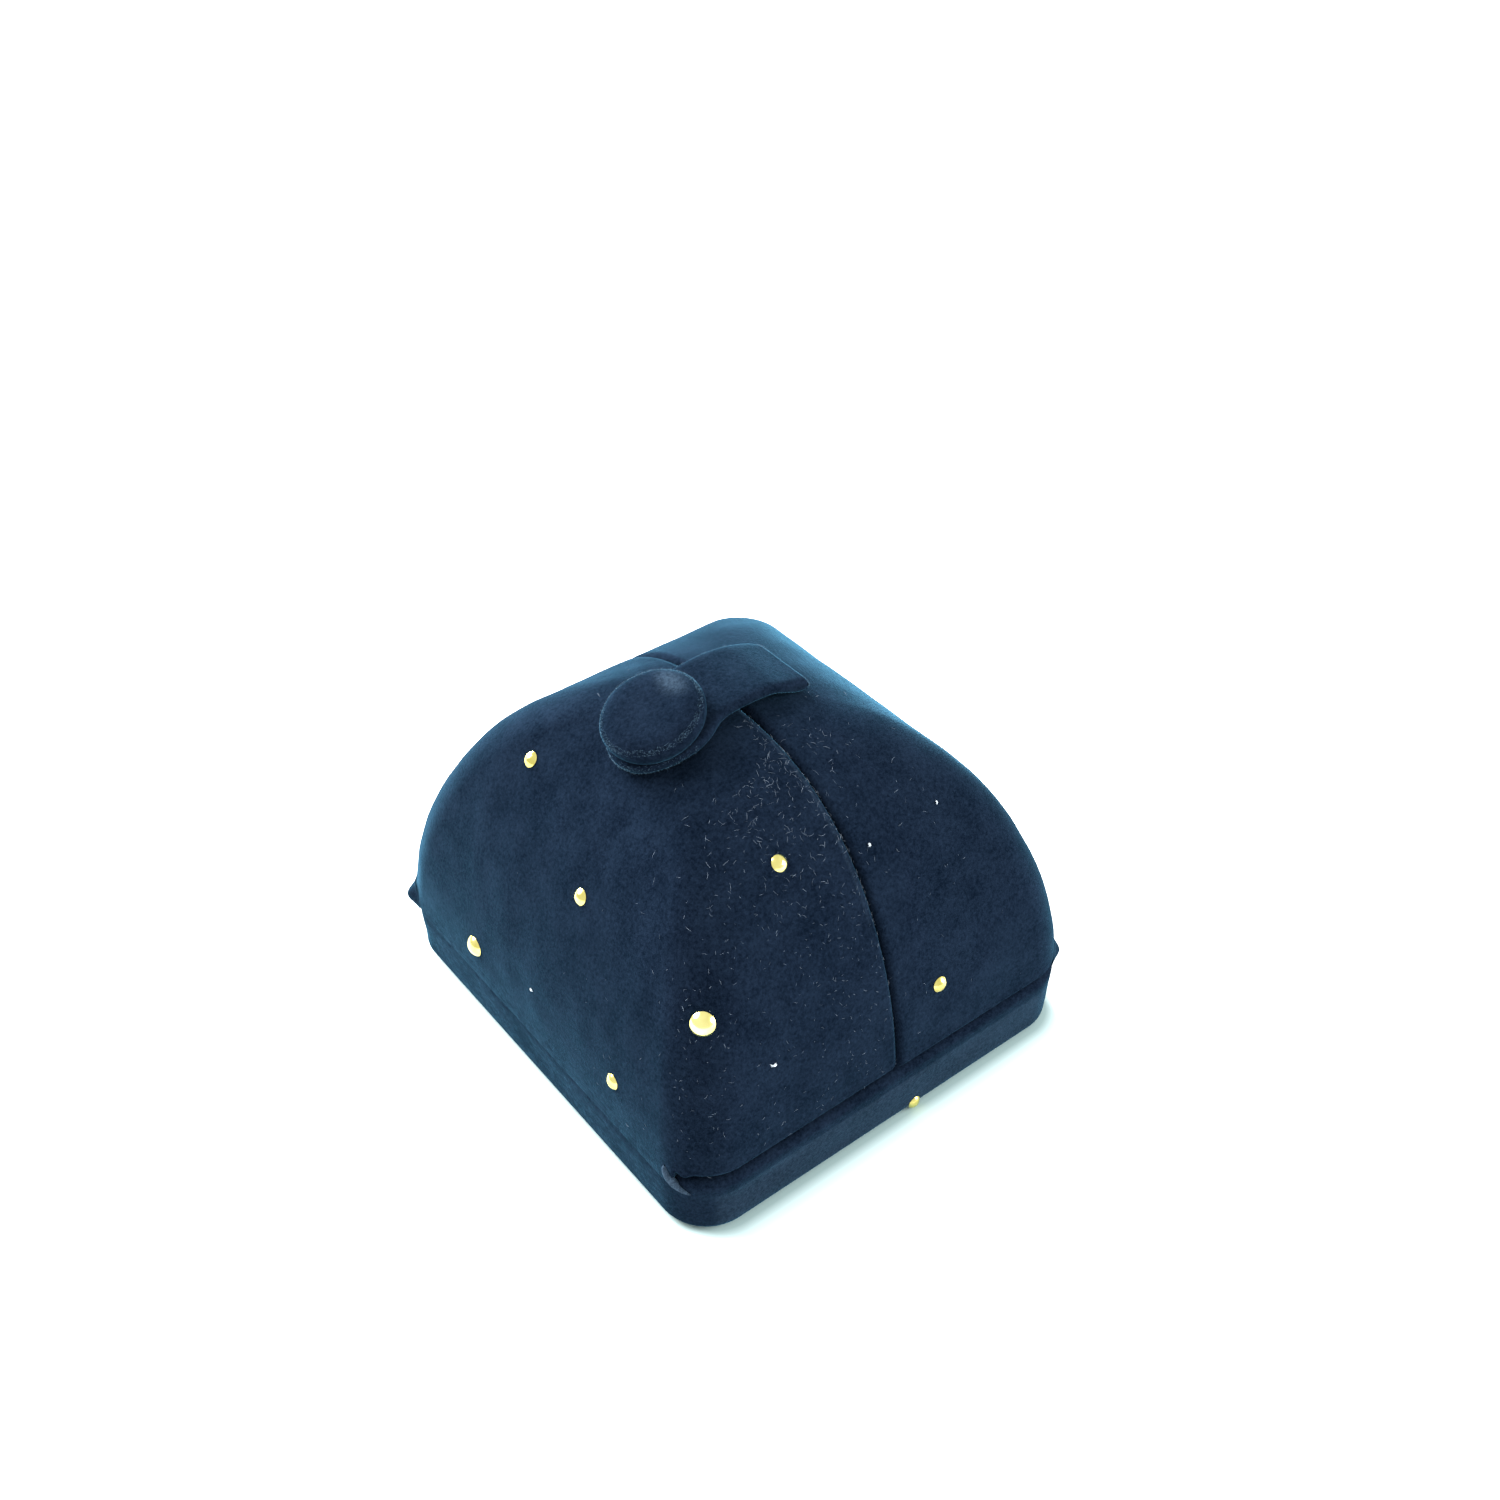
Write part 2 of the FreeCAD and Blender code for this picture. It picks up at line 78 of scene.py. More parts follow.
# How the velvet lies: millimetres, and turns in degrees from the front or back face
SEAM_GAP = 0.06
RIM_GAP = 0.12
TURNED_IN = (3.0, 2.0, 1.2, 0.7)
SEAM_ROLL = 0.95
RIM_ROLL = 1.15
BASE_TOP_ROLL = 1.0
BASE_BOTTOM_ROLL = 1.3
CREASE_ROLL = 0.03
NOTCH_SLOPE = 1.05
NOTCH_COVER = 0.04
STRIP_HALF = 1.8
TUCK = 0.25
STRIP_END_TURN = 60.0
POCKET_TURN = 72.0
KNOB_TURN = 59.0
KNOB_REACH = 2.3
KNOB_SPREAD = 12.0
FOLD_THICK = 0.72
# Pile value of the corner fold, above 1 to lighten its colour: a painted highlight.
FOLD_HIGHLIGHT = 1.32
LINT_LIFT = 0.07
HAIR_HALF = 0.016

# Strap and button, as in the design
STRAP_GAP = 0.4
STRAP_ARCH = 0.9
STRAP_ARCH_WIDTH = 6.0
STRAP_THICK = 1.5
STRAP_END_X = 8.2
STRAP_HALF = 5.1
STRAP_SHIFT = 0.6
STRAP_CORNER = 2.5
STRAP_DISC_X = -9.0
STRAP_DISC_R = 6.1
BUTTON_X = -9.5
BUTTON_SEAT_X = -11.5
BUTTON_R = 6.25
BUTTON_HEIGHT = 2.7
BUTTON_RIM_HEIGHT = 2.1
BUTTON_RIM_HALF = 0.22

# Ring pad
PAD_HALF_X = 20.6
PAD_OUTER_Y = 22.6
PAD_ROUND = 3.0

# Cloth simulation of the ring pads, run at a larger scale; voxel and swell in metres at that scale
PAD_SIM_SCALE = 10.0
PAD_SIM_STEPS = 20
PAD_FREE_HEIGHT = 5.2
PAD_VOXEL = 0.0065
PAD_SWELL = 0.011

# Camera, fitted to the photograph: azimuth, elevation and roll in degrees, the rest in metres
CAMERA_ANGLES = (-38.447, 38.87, 0.303)
CAMERA_AIM = (0.019201, 0.020073, 0.015)
CAMERA_DISTANCE = 0.237672
CAMERA_LENS = 40.90
CAMERA_SENSOR = 36.0


# ---------------------------------------------------------------- mesh helpers

def in_metres(verts):
    return [tuple(MM * float(c) for c in v) for v in verts]


def make_loose(name, verts, faces, material, body):
    """Flat-shaded mesh object from points in millimetres, carried by a body."""
    mesh = bpy.data.meshes.new(name)
    mesh.from_pydata(in_metres(verts), [], faces)
    mesh.materials.append(material)
    thing = bpy.data.objects.new(name, mesh)
    bpy.context.scene.collection.objects.link(thing)
    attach(thing, body)


def make_object(name, verts, faces, material, pile=1.0):
    """Smooth mesh object from points in millimetres."""
    mesh = bpy.data.meshes.new(name)
    mesh.from_pydata(in_metres(verts), [], [tuple(int(i) for i in f) for f in faces])
    layer = mesh.attributes.new("pile", "FLOAT", "POINT")
    layer.data.foreach_set("value", np.full(len(verts), 1.0) * pile)
    bm = bmesh.new()
    bm.from_mesh(mesh)
    bmesh.ops.remove_doubles(bm, verts=bm.verts, dist=0.004 * MM)
    bmesh.ops.dissolve_degenerate(bm, dist=0.001 * MM, edges=bm.edges)
    bmesh.ops.recalc_face_normals(bm, faces=bm.faces)
    bm.to_mesh(mesh)
    bm.free()
    if material is VELVET:
        spread_velvet(mesh)
    else:
        mesh.materials.append(material)
    for polygon in mesh.polygons:
        polygon.use_smooth = True
    thing = bpy.data.objects.new(name, mesh)
    bpy.context.scene.collection.objects.link(thing)
    return thing


def spread_velvet(mesh):
    """Give each face one of the two velvets nearest to its pile, more often the nearer one; less sheen is painted
    shade.
    """
    pile = np.zeros(len(mesh.vertices), dtype=np.float32)
    mesh.attributes["pile"].data.foreach_get("value", pile)
    means = [pile[list(face.vertices)].mean() for face in mesh.polygons]
    place = np.interp(means, SHEEN_LEVELS, range(len(SHEEN_LEVELS)))
    chosen = np.floor(place + np.random.default_rng(7).random(len(place))).astype(np.int32)
    for material in VELVETS:
        mesh.materials.append(material)
    mesh.polygons.foreach_set("material_index", np.minimum(chosen, len(VELVETS) - 1))


def grid_faces(rows, columns, closed=False):
    faces = []
    for i in range(rows - 1):
        for j in range(columns if closed else columns - 1):
            k = (j + 1) % columns
            faces.append((i * columns + j, i * columns + k, (i + 1) * columns + k, (i + 1) * columns + j))
    return faces


def face_outward(thing, point):
    """Turn all faces over if they look towards a point inside the object (millimetres)."""
    mesh = thing.data
    inside = Vector(point) * MM
    total = sum((p.center - inside).dot(p.normal) * p.area for p in mesh.polygons)
    if total < 0:
        mesh.flip_normals()


def smooth_step(x, low, high):
    t = np.clip((x - low) / (high - low), 0, 1)
    return t * t * (3 - 2 * t)


def waves(points, size, seed, count=7):
    """Soft irregular field between about -1 and 1, for slight unevenness of padded cloth."""
    draw = np.random.default_rng(seed)
    total = np.zeros(len(points))
    for _ in range(count):
        direction = draw.normal(size=3)
        direction *= 2 * math.pi / (size * np.linalg.norm(direction) * draw.uniform(0.7, 1.5))
        total += np.sin(points @ direction + draw.uniform(0, 6.28))
    return total / count ** 0.5 / 1.2


# ---------------------------------------------------------------- materials

def new_material(name):
    material = bpy.data.materials.new(name)
    material.use_nodes = True
    tree = material.node_tree
    shader = tree.nodes["Principled BSDF"]
    place = tree.nodes.new("ShaderNodeTexCoord")
    return material, tree, shader, place.outputs["Object"]


def add_noise(tree, place, scale, detail=3.0, rough=0.6):
    node = tree.nodes.new("ShaderNodeTexNoise")
    node.inputs["Scale"].default_value = scale
    node.inputs["Detail"].default_value = detail
    node.inputs["Roughness"].default_value = rough
    tree.links.new(place, node.inputs["Vector"])
    return node.outputs["Fac"]


def add_ramp(tree, factor, stops):
    node = tree.nodes.new("ShaderNodeValToRGB")
    elements = node.color_ramp.elements
    elements[0].position, elements[0].color = stops[0][0], (*stops[0][1], 1)
    elements[1].position, elements[1].color = stops[-1][0], (*stops[-1][1], 1)
    for position, color in stops[1:-1]:
        element = elements.new(position)
        element.color = (*color, 1)
    tree.links.new(factor, node.inputs["Fac"])
    return node.outputs["Color"]


def add_math(tree, operation, first, second):
    node = tree.nodes.new("ShaderNodeMath")
    node.operation = operation
    for socket, value in zip(node.inputs, (first, second)):
        if isinstance(value, (int, float)):
            socket.default_value = value
        else:
            tree.links.new(value, socket)
    return node.outputs[0]


def add_bump(tree, shader, height, strength, distance):
    node = tree.nodes.new("ShaderNodeBump")
    node.inputs["Strength"].default_value = strength
    node.inputs["Distance"].default_value = distance
    tree.links.new(height, node.inputs["Height"])
    tree.links.new(node.outputs["Normal"], shader.inputs["Normal"])


def velvet_material(name, weight):
    """Short upright pile: dark in the middle, with a soft sheen where it is seen edge on."""
    material, tree, shader, place = new_material(name)
    patches = add_noise(tree, place, 210.0, 3.0, 0.6)
    grain = add_noise(tree, place, 2300.0, 4.0, 0.85)
    coarse = add_math(tree, "MULTIPLY", patches, 0.3)
    mixed = add_math(tree, "ADD", coarse, add_math(tree, "MULTIPLY", grain, 0.7))
    middle = tuple(0.5 * (a + b) for a, b in zip(VELVET_DARK, VELVET_LIGHT))
    pile = tree.nodes.new("ShaderNodeAttribute")
    pile.attribute_name = "pile"
    color = add_ramp(tree, mixed, [(0.38, VELVET_DARK), (0.5, middle), (0.62, VELVET_LIGHT)])
    # Pile above 1 lightens the colour: painted light and highlight, and lighter marks on the button and by the
    # seam.
    brushed_and_highlight = tree.nodes.new("ShaderNodeMix")
    brushed_and_highlight.data_type = "RGBA"
    brushed_and_highlight.inputs["B"].default_value = (*BRUSHED_AND_HIGHLIGHT_TINT, 1)
    over = add_math(tree, "MULTIPLY", add_math(tree, "SUBTRACT", pile.outputs["Fac"], 1.0), 2.0)
    over = add_math(tree, "MULTIPLY", over, add_math(tree, "POWER", grain, 1.6))
    lifted = add_math(tree, "MAXIMUM", over, 0.0)
    tree.links.new(lifted, brushed_and_highlight.inputs["Factor"])
    tree.links.new(color, brushed_and_highlight.inputs["A"])
    tree.links.new(brushed_and_highlight.outputs["Result"], shader.inputs["Base Color"])
    shader.inputs["Sheen Tint"].default_value = (*VELVET_SHEEN, 1)
    shader.inputs["Sheen Weight"].default_value = weight
    shader.inputs["Roughness"].default_value = 1.0
    shader.inputs["Specular IOR Level"].default_value = 0.0
    shader.inputs["Sheen Roughness"].default_value = 0.3
    add_bump(tree, shader, grain, 0.4, 0.00016)
    return material


def satin_material(name, color):
    """Woven satin: a fine weave over soft folds."""
    material, tree, shader, place = new_material(name)
    folds = add_noise(tree, place, 120.0, 2.0)
    weave = tree.nodes.new("ShaderNodeTexWave")
    weave.inputs["Scale"].default_value = 1500.0
    weave.inputs["Distortion"].default_value = 0.6
    tree.links.new(place, weave.inputs["Vector"])
    dim = tuple(0.86 * c for c in color)
    tree.links.new(add_ramp(tree, folds, [(0.3, dim), (0.7, color)]), shader.inputs["Base Color"])
    shader.inputs["Roughness"].default_value = 0.42
    shader.inputs["Sheen Weight"].default_value = 0.2
    height = add_math(tree, "ADD", weave.outputs["Fac"], add_math(tree, "MULTIPLY", folds, 4.0))
    add_bump(tree, shader, height, 0.25, 0.0001)
    return material


def metal_material(name, color, dark, roughness, scratch=900.0):
    material, tree, shader, place = new_material(name)
    tone = add_noise(tree, place, 260.0, 3.0)
    fine = add_noise(tree, place, scratch, 2.0)
    tree.links.new(add_ramp(tree, tone, [(0.35, dark), (0.65, color)]), shader.inputs["Base Color"])
    shader.inputs["Metallic"].default_value = 1.0
    spread = add_math(tree, "ADD", add_math(tree, "MULTIPLY", fine, 0.18), roughness - 0.09)
    tree.links.new(spread, shader.inputs["Roughness"])
    add_bump(tree, shader, tone, 0.12, 0.0001)
    return material


def plain_material(name, color, dim, roughness, scale, bump):
    material, tree, shader, place = new_material(name)
    tone = add_noise(tree, place, scale, 4.0)
    tree.links.new(add_ramp(tree, tone, [(0.3, dim), (0.7, color)]), shader.inputs["Base Color"])
    shader.inputs["Roughness"].default_value = roughness
    add_bump(tree, shader, tone, bump, 0.0001)
    return material


# Pale tint for pile above 1: painted light on the base front, painted highlight on the corner fold, lighter marks
# on the button and the left seam.
BRUSHED_AND_HIGHLIGHT_TINT = (0.16, 0.25, 0.36)
VELVET_DARK = (0.0017, 0.0038, 0.0088)
VELVET_LIGHT = (0.0080, 0.0143, 0.0275)
VELVET_SHEEN = (0.052, 0.157, 0.238)
# Velvet copies with less sheen: shaded copies that paint shade where the pile value is low.
SHEEN_LEVELS = (0.1, 0.3, 0.5, 0.7, 0.85, 1.0)
VELVETS = [velvet_material(f"navy_velvet_{k}", weight) for k, weight in enumerate(SHEEN_LEVELS)]
VELVET = VELVETS[-1]
SATIN = satin_material("ivory_satin", (0.44, 0.41, 0.355))
GOLD = metal_material("polished_gold", (0.90, 0.80, 0.31), (0.62, 0.52, 0.13), 0.18, 700.0)
BRASS = metal_material("hinge_brass", (0.80, 0.62, 0.33), (0.62, 0.45, 0.20), 0.34)
STEEL = metal_material("plain_steel", (0.62, 0.62, 0.63), (0.46, 0.46, 0.47), 0.3)
NICKEL = metal_material("magnet_nickel", (0.75, 0.74, 0.72), (0.6, 0.59, 0.57), 0.18)
# Near-black navy shell, so where it shows in the front left pocket it stands in for shade: painted shade.
PLASTIC = plain_material("shell_plastic", (0.008, 0.010, 0.014), (0.005, 0.006, 0.009), 0.6, 900.0, 0.2)
PAPER = plain_material("bottom_paper", (0.028, 0.034, 0.05), (0.014, 0.017, 0.026), 0.62, 700.0, 0.6)
CARD = plain_material("grey_card", (0.42, 0.39, 0.34), (0.32, 0.3, 0.26), 0.9, 800.0, 0.4)
FOAM = plain_material("pad_foam", (0.75, 0.73, 0.66), (0.6, 0.58, 0.52), 0.95, 1200.0, 0.8)
# Pale colour of the edge hairs: a painted highlight of the light that an edge of pile catches.
FRINGE_HIGHLIGHT = plain_material("fringe_highlight", (0.10, 0.18, 0.25), (0.05, 0.10, 0.15), 1.0, 900.0, 0.0)
LINT = plain_material("lint_fibre", (0.22, 0.27, 0.34), (0.03, 0.05, 0.08), 0.8, 700.0, 0.1)
FLUFF = plain_material("white_fluff", (0.75, 0.80, 0.84), (0.5, 0.56, 0.62), 0.9, 700.0, 0.1)

NODE_MATERIALS = {"plastic": PLASTIC, "velvet": VELVET, "satin": SATIN, "gold": GOLD, "hinge_brass": BRASS,
                  "steel": STEEL, "magnet": NICKEL, "paper": PAPER, "card": CARD, "foam": FOAM}


def dress_cad_nodes():
    for part in frame["record"]["subparts"]:
        node = frame["nodes"][part["node"]]
        material = NODE_MATERIALS[part["material_slot"]]
        if not node.material_slots:
            node.data.materials.append(material)
        for slot in node.material_slots:
            slot.material = material


# ---------------------------------------------------------------- form of the box

def shrink(rise):
    return (1 - np.clip(rise, 0, 1) ** RISE_POWER) ** (1 / SHRINK_POWER)


def half_plan(half_x, half_y, radius, edge, columns):
    """Points of the left half of a rounded rectangle, from the front seam round to the back seam."""
    out = []
    in_x = max(half_x - radius, edge)
    in_y = max(half_y - radius, 0.0)
    for stretch, part in columns:
        turn = part * math.pi / 2
        if stretch == 0:
            out.append((-(edge + part * (in_x - edge)), -in_y - radius))
        elif stretch == 1:
            out.append((-in_x - radius * math.sin(turn), -in_y - radius * math.cos(turn)))
        elif stretch == 2:
            out.append((-in_x - radius, -in_y + part * 2 * in_y))
        elif stretch == 3:
            out.append((-in_x - radius * math.cos(turn), in_y + radius * math.sin(turn)))
        else:
            out.append((-(edge + (1 - part) * (in_x - edge)), in_y + radius))
    return out


def make_columns(straight, arc, side):
    """Stretches of half the plan: front, corner, side, corner, back."""
    columns = [(0, k / straight) for k in range(straight)]
    columns += [(1, k / arc) for k in range(arc)]
    columns += [(2, k / side) for k in range(side)]
    columns += [(3, k / arc) for k in range(arc)]
    columns += [(4, k / straight) for k in range(straight + 1)]
    return columns


def corner_turn(column):
    """Degrees that a column has turned from the front or back face towards the side: 0 to 90."""
    stretch, part = column
    if stretch in (0, 4):
        return 0.0
    if stretch == 2:
        return 90.0
    return 90.0 * (part if stretch == 1 else 1 - part)


def strip_share(column, side, beyond=0.0):
    """1 where the hinge strip closes the side, 0 where the rim is open, as in the front left pocket."""
    end = beyond + (POCKET_TURN if side < 0 and column[0] == 1 else STRIP_END_TURN)
    return float(smooth_step(np.asarray(corner_turn(column), float), end - 3.0, end + 2.0))


def outside_axis(turn, depth):
    """How far a point at some depth in the corner lies outside the hinge axis."""
    return HALF_WIDTH - CORNER + (CORNER - depth) * math.sin(math.radians(turn)) - AXIS_X


def open_rim(turn, gap, depth=0.0):
    """Distance of the open rim from the parting plane: it is cut back outside the hinge axis."""
    return max(gap, NOTCH_SLOPE * outside_axis(turn, depth) - NOTCH_COVER)


def rim_slope(turn, gap, share, depth):
    """How much nearer the parting plane the open rim lies at some depth than at the surface."""
    return (1 - share) * (open_rim(turn, gap) - open_rim(turn, gap, depth))


def open_roll(turn, roll):
    """Roll of the open rim, crisper where it is cut back."""
    return roll * (1 - 0.65 * float(smooth_step(outside_axis(turn, 0.0), 0.0, 0.9)))


def crease_shade(z):
    """Less sheen in the soft valley over the hinge strip."""
    return 1 - 0.45 * math.exp(-((z - RIM_Z + 0.9) / 1.5) ** 2)


def build_door(side, name, rim_gap, rim_roll, seed):
    """Velvet of one door: turned in at the seam and the rim, and running down over the hinge."""
    columns = make_columns(46, 30, 60)
    edge_angles = np.radians(np.linspace(0, 90, 9)[:-1])
    edge_steps = [(SEAM_GAP, TURNED_IN[0], 0.0), (SEAM_GAP, 1.8, 0.0)]
    edge_steps += [(SEAM_GAP + SEAM_ROLL * (1 - math.cos(a)), 0.0, math.sin(a)) for a in edge_angles]
    full = [(edge, wall, lift, columns[0]) for edge, wall, lift in edge_steps]
    full += [(SEAM_GAP + SEAM_ROLL, 0.0, 1.0, column) for column in columns]
    full += [(edge, wall, lift, columns[-1]) for edge, wall, lift in reversed(edge_steps)]
    rows = [("in", depth) for depth in TURNED_IN]
    rows += [("roll", a) for a in np.radians(np.linspace(0, 90, 10)[:-1])]
    rows += [("up", a) for a in np.radians(90 * np.linspace(0, 1, 90) ** 0.92)]
    verts = np.zeros((len(rows), len(full), 3))
    pile = np.ones((len(rows), len(full)))
    for j, (edge, wall, seam_lift, column) in enumerate(full):
        turn = corner_turn(column)
        share = strip_share(column, side)
        low = (1 - share) * (RIM_Z + open_rim(turn, rim_gap)) + share * (RIM_Z - STRIP_HALF)
        roll = (1 - share) * open_roll(turn, rim_roll) + share * CREASE_ROLL
        seam_depth = SEAM_ROLL * (1 - seam_lift)
        for i, (kind, value) in enumerate(rows):
            if kind == "in":
                depth = max(value, wall, seam_depth, roll)
                z = low - rim_slope(turn, rim_gap, share, depth)
            elif kind == "roll":
                rim_depth = roll * (1 - math.sin(value))
                both = rim_depth * seam_depth / max(roll, SEAM_ROLL)
                depth = max(rim_depth + seam_depth - both, wall)
                z = low - rim_slope(turn, rim_gap, share, rim_depth) + roll * (1 - math.cos(value))
            else:
                z = low + roll + (APEX_Z - low - roll) * math.sin(value)
                depth = max(seam_depth, wall)
            top = APEX_Z - depth
            z = min(z, top)
            size = float(shrink((z - RIM_Z) / (top - RIM_Z)))
            if z < RIM_Z:
                size = 1 - BASE_TAPER * (RIM_Z - z) / RIM_Z / HALF_WIDTH
            half_x = (HALF_WIDTH - depth) * size
            half_y = (HALF_DEPTH - depth) * size
            radius = min((CORNER - 0.9 * depth) * size ** CORNER_POWER, 0.95 * half_x, 0.95 * half_y)
            x, y = half_plan(half_x, half_y, radius, edge, [column])[0]
            verts[i, j] = (min(x, -edge), y, z)
            # Painted shade: less sheen on the roll of the open rim and on the seam's roll, more so low down.
            free = 0.25 + 0.75 * float(smooth_step(z - low - roll, -0.3 * roll, 1.6))
            seam_shade = 0.42 + 0.3 * float(smooth_step(z, 20.0, 38.0))
            pile[i, j] = (free + (1 - free) * share) * (seam_shade + (1 - seam_shade) * seam_lift ** 2)
            pile[i, j] *= 1 - share + share * crease_shade(z)
            if side < 0 and j <= len(edge_steps):
                pile[i, j] += 0.05 * seam_lift ** 4 * float(smooth_step(z, 26.0, 36.0))
    flat = verts.reshape(-1, 3)
    turns = np.tile([corner_turn(column) for _, _, _, column in full], len(rows))
    flat += knob_shift(flat, turns, RIM_Z + 0.25)
    soft = waves(flat, 11.0, seed) * 0.06 + waves(flat, 4.5, seed + 1) * 0.025
    away = flat - np.array([0, 0, RIM_Z + 6.0])
    away /= np.linalg.norm(away, axis=1)[:, None]
    shown = smooth_step(flat[:, 2], RIM_Z + 0.5, RIM_Z + 4.0) * smooth_step(-flat[:, 0], 0.5, 3.0)
    flat += away * (soft * shown)[:, None]
    if side > 0:
        flat[:, 0] *= -1
    door = make_object(name, flat, grid_faces(len(rows), len(full)), VELVET, pile.ravel())
    face_outward(door, (side * 12, 0, RIM_Z + 8))
    body = "left_door" if side < 0 else "right_door"
    bend_at_hinge(door)
    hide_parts(body + "_velvet", body.replace("_door", "") + "_hinge_cloth")
    return door


def bend_at_hinge(piece):
    """Bake the piece's placement into its mesh."""
    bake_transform(piece)


def knob_shift(points, turns, height):
    """Slight swelling where the closed side meets the open rim."""
    along = np.exp(-((turns - KNOB_TURN - 4.0) / KNOB_SPREAD) ** 2)
    up = np.exp(-np.abs((points[:, 2] - height) / 1.7) ** 2)
    centre = np.array([HALF_WIDTH - CORNER - 4, HALF_DEPTH - CORNER - 4])
    outward = points[:, :2] - np.sign(points[:, :2]) * centre
    outward /= np.linalg.norm(outward, axis=1)[:, None] + 1e-9
    shift = np.zeros_like(points)
    shift[:, :2] = outward * (0.3 * along * up)[:, None]
    return shift


def build_knobs(name, side, sizes):
    """Small soft knobs of gathered velvet at the front and back ends of a hinge strip."""
    verts, faces = [], []
    rings, around = 16, 28
    for end, out, wide, power, lift in sizes:
        corner = np.array([side * (HALF_WIDTH - CORNER), end * (HALF_DEPTH - CORNER), RIM_Z + lift])
        first = len(verts)
        for i in range(rings + 1):
            reach = KNOB_REACH * (i / rings) ** 1.2
            for k in range(around):
                spin = 2 * math.pi * k / around
                turn = math.radians(KNOB_TURN) + reach * math.cos(spin) / CORNER
                look = np.array([side * math.sin(turn), end * math.cos(turn), 0])
                pleat = 1 + 0.1 * math.cos(3 * spin + side + end)
                height = out * math.exp(-(reach * pleat / wide) ** power) - 0.12
                height -= 0.06 * max(reach - 2.0, 0)
                point = corner + look * (CORNER + height)
                point[2] += reach * math.sin(spin) - 0.2 * height
                verts.append(point)
        faces += [tuple(first + i for i in face) for face in grid_faces(rings + 1, around, closed=True)]
    knobs = make_object(name, verts, faces, VELVET, 0.9)
    face_outward(knobs, (0, 0, RIM_Z))
    bend_at_hinge(knobs)


def build_fold():
    """Rounded fold of velvet at the mouth of the front left pocket, lightened as a painted highlight."""
    verts, pile = [], []
    steps, around = 24, 16
    for i in range(steps + 1):
        part = i / steps
        turn = math.radians(81 - 8 * part - 20 * part ** 2)
        look = np.array([-math.sin(turn), -math.cos(turn), 0])
        along = np.array([look[1], -look[0], 0])
        centre = np.array([CORNER - HALF_WIDTH, CORNER - HALF_DEPTH, RIM_Z + 1.1 - 3.2 * part])
        thick = FOLD_THICK * math.sin(math.pi * min(max(part, 0.02), 0.98)) ** 0.7
        for k in range(around):
            spin = 2 * math.pi * k / around
            point = centre + look * (CORNER + 0.25 * thick + 0.8 * thick * math.cos(spin))
            point = point + along * thick * math.sin(spin) + np.array([0, 0, 0.5 * thick * math.sin(spin)])
            verts.append(point)
            pile.append(FOLD_HIGHLIGHT)
    fold = make_object("corner_fold", verts, grid_faces(steps + 1, around, closed=True), VELVET, pile)
    bend_at_hinge(fold)


def build_base():
    """Velvet of the base: over the top edge, down the wall and in under the bottom edge."""
    half = make_columns(46, 30, 60)
    ring = [(column, -1) for column in half[:-1]] + [(column, 1) for column in reversed(half[1:])]
    rows = [("in", depth) for depth in TURNED_IN]
    rows += [("top", a) for a in np.radians(np.linspace(0, 90, 10)[:-1])]
    rows += [("wall", k / 14) for k in range(14)]
    rows += [("foot", a) for a in np.radians(np.linspace(0, 90, 9))]
    rows += [("under", 0.25), ("under", 0.7)]
    low = BASE_LOW.z - 0.22
    strip_low = RIM_Z - STRIP_HALF
    verts, pile = [], []
    for kind, value in rows:
        for column, side in ring:
            turn = corner_turn(column)
            share = strip_share(column, side)
            tucked = strip_share(column, side, 5.0)
            top = (1 - tucked) * (RIM_Z - open_rim(turn, RIM_GAP)) + tucked * (RIM_Z - STRIP_HALF + TUCK)
            roll = (1 - tucked) * open_roll(turn, BASE_TOP_ROLL) + tucked * CREASE_ROLL
            if kind == "in":
                depth = max(value, roll)
                flat = 0.0 if side < 0 and column[0] == 1 else tucked
                z = (1 - flat) * (RIM_Z - open_rim(turn, RIM_GAP, depth)) + flat * top
            elif kind == "top":
                depth = roll * (1 - math.sin(value))
                z = top + rim_slope(turn, RIM_GAP, tucked, depth) - roll * (1 - math.cos(value))
            elif kind == "wall":
                z, depth = top - roll + value * (low + BASE_BOTTOM_ROLL - top + roll), 0.0
            elif kind == "foot":
                z = low + BASE_BOTTOM_ROLL * (1 - math.sin(value))
                depth = BASE_BOTTOM_ROLL * (1 - math.cos(value))
            else:
                z, depth = low + value, BASE_BOTTOM_ROLL + 0.1
            depth += 0.05 * share * float(smooth_step(z, strip_low - 1.0, strip_low - 0.1))
            inset = depth + BASE_TAPER * (RIM_Z - z) / RIM_Z
            x, y = half_plan(HALF_WIDTH - inset, HALF_DEPTH - inset, CORNER - 0.9 * inset, 0.0, [column])[0]
            verts.append((x if side < 0 else -x, y, z))
            # Painted shade: less sheen on the roll of the open top rim.
            free = 0.3 + 0.7 * float(smooth_step(top - z, 0.4 * roll, roll + 1.4))
            # Painted light: the front wall a little lighter; painted shade: the left wall darker.
            front = (1.0, 1.0 - column[1], 0.0, 0.0, 0.0)[column[0]]
            lit = 1.0 + 0.05 * front
            if side < 0:
                lit -= 0.43 * float(smooth_step(turn, 20.0, 80.0))
            pile.append(lit * (free + (1 - free) * share) * (1 - share + share * crease_shade(z)))
    verts = np.array(verts)
    swell = smooth_step(verts[:, 2], 1.0, 3.0) * smooth_step(-verts[:, 2], -7.4, -5.6)
    soft = waves(verts, 13.0, 21) * 0.06 * swell
    verts[:, :2] *= 1 + (soft / HALF_WIDTH)[:, None]
    base = make_object("base_cover", verts, grid_faces(len(rows), len(ring), closed=True), VELVET, pile)
    face_outward(base, (0, 0, 5))
    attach(base, "base")
    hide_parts("base_velvet")


# ---------------------------------------------------------------- strap and button

def profile_z(x):
    size = np.minimum(np.abs(x) / HALF_WIDTH, 1.0)
    return RIM_Z + (APEX_Z - RIM_Z) * (1 - size ** SHRINK_POWER) ** (1 / RISE_POWER)


